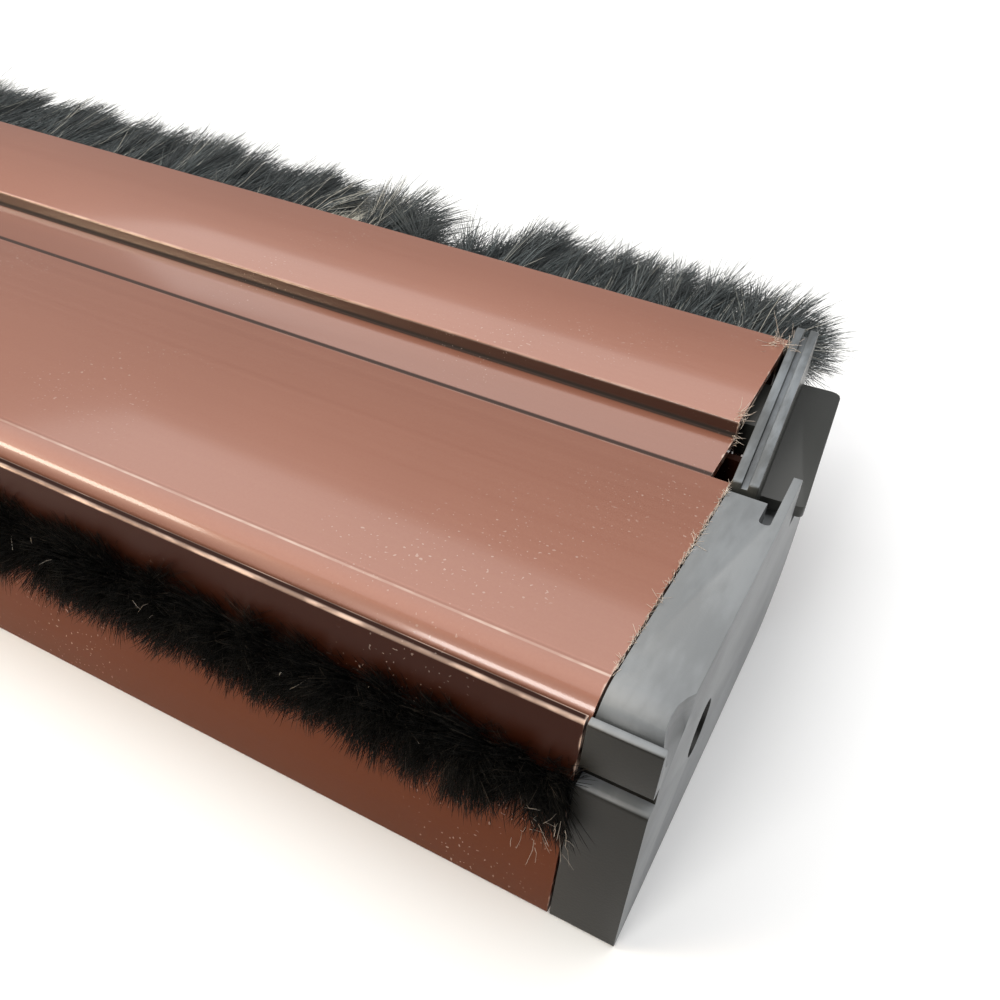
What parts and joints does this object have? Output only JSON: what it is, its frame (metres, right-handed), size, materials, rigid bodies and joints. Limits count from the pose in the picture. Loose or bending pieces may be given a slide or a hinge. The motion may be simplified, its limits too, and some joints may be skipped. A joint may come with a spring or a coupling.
{
  "type": "retracting brush door sweep",
  "caption": "Surface-mounted brush door sweep: a brown metal housing with end caps holds a sliding bar whose long black brush drops to the floor when the end plunger is pushed.",
  "frame": {"origin": "middle of the flat back face that lies against the door", "axes": "+X along the door towards the end cap without the plunger, +Y towards the floor under the door, +Z out of the door's face"},
  "size_m": [0.6285, 0.1222, 0.035],
  "materials": {
    "brown_aluminium": "satin brown powder coat on extruded aluminium, dusty, bright worn edges",
    "cap_plastic": "moulded black plastic, scuffed",
    "runner_plastic": "moulded dark grey plastic, rubbed bright on its ridges",
    "guide_plastic": "moulded black plastic",
    "bristle": "fine black nylon and polypropylene fibre",
    "steel": "bright zinc-plated steel",
    "zinc": "die-cast zinc alloy"
  },
  "bodies": {
    "housing": {"housing_base": "brown_aluminium", "top_cover": "brown_aluminium", "end_cap_right": "cap_plastic", "end_cap_left": "cap_plastic", "cap_screw_right": "steel", "cap_screw_left": "steel", "pile_backing": "bristle", "front_pile": "bristle", "rod_guide_1": "guide_plastic", "rod_guide_2": "guide_plastic", "rod_guide_3": "guide_plastic"},
    "bar": {"drop_bar": "brown_aluminium", "brush_backing": "guide_plastic", "long_brush": "bristle", "end_runner_right": "runner_plastic", "end_runner_left": "runner_plastic", "follower_pin_1": "steel", "follower_pin_2": "steel"},
    "actuator": {"actuator_rod": "steel", "cam_block_1": "zinc", "cam_block_2": "zinc", "roll_pin_1": "steel", "roll_pin_2": "steel", "spring_collar": "steel", "return_spring": "steel", "lock_nut": "steel"},
    "plunger": {"plunger_button": "cap_plastic"}
  },
  "joints": [
    {"name": "plunger_slide", "type": "slide", "parent": "housing", "child": "actuator", "axis": [1, 0, 0], "range_m": [0, 0.012], "stiffness_N_per_m": 600, "springref_m": -0.012, "deforming": ["return_spring"]},
    {"name": "bar_drop", "type": "slide", "parent": "housing", "child": "bar", "axis": [0, 1, 0], "range_m": [0, 0.012]},
    {"name": "plunger_turn", "type": "hinge", "parent": "actuator", "child": "plunger", "pos_m": [-0.32, 0.021, 0.009], "axis": [1, 0, 0], "continuous": true}
  ],
  "couplings": [
    {"joint": "bar_drop", "follows": "plunger_slide", "ratio": 1}
  ]
}
